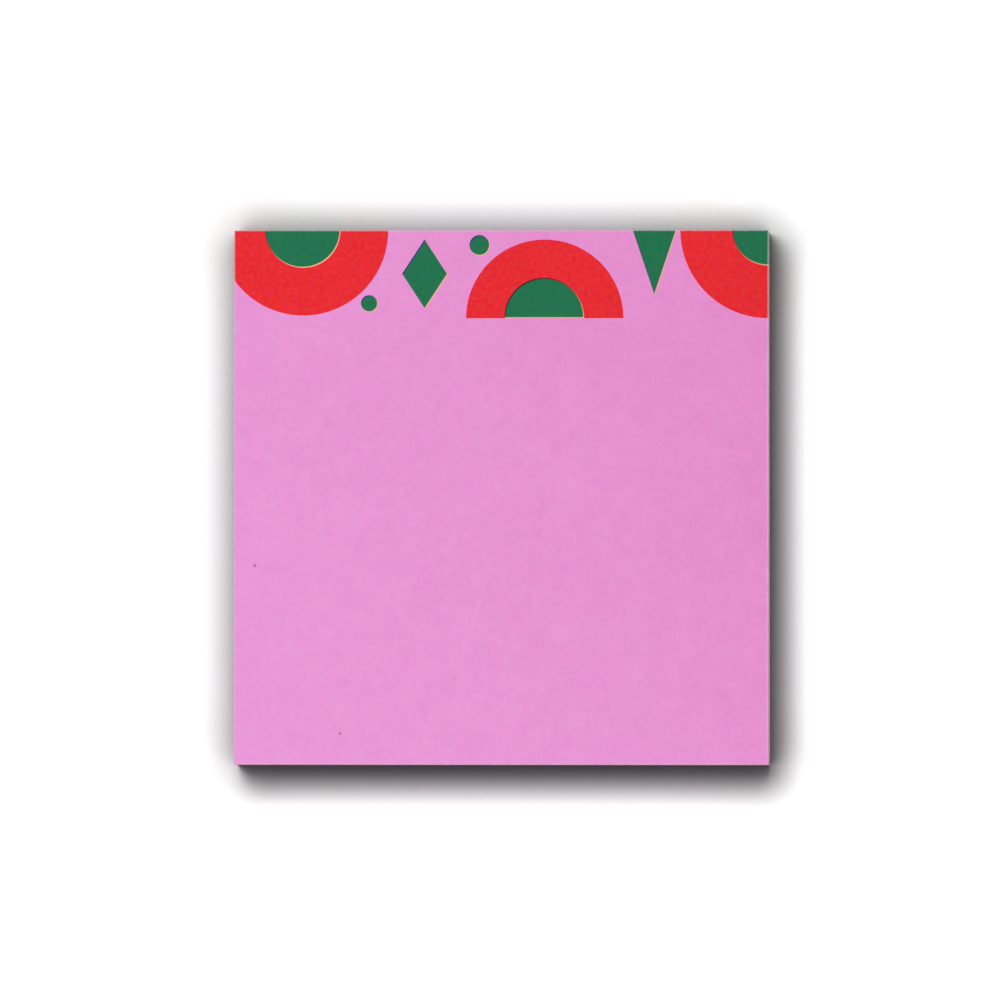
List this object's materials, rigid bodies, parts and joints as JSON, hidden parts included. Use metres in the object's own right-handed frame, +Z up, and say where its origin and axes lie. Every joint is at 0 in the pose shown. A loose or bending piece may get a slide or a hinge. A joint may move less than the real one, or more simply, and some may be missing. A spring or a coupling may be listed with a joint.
{
  "type": "sticky note pad",
  "caption": "Square pad of pink sticky notes glued along the top edge, with a printed band of plain cut-out shapes there and a liner card underneath.",
  "frame": {"origin": "centre of the pad's underside, where it lies on a desk", "axes": "+X to the right across the notes, +Y towards the glued edge with the printed band, +Z up out of the top note"},
  "size_m": [0.076, 0.076, 0.0095],
  "materials": {
    "note_paper": "uncoated white paper printed edge to edge in pink, with a band in red, green and pink",
    "liner_card": "uncoated grey-white card"
  },
  "bodies": {
    "root": {"note_sheets": "note_paper", "backing_sheet": "liner_card"}
  },
  "joints": []
}
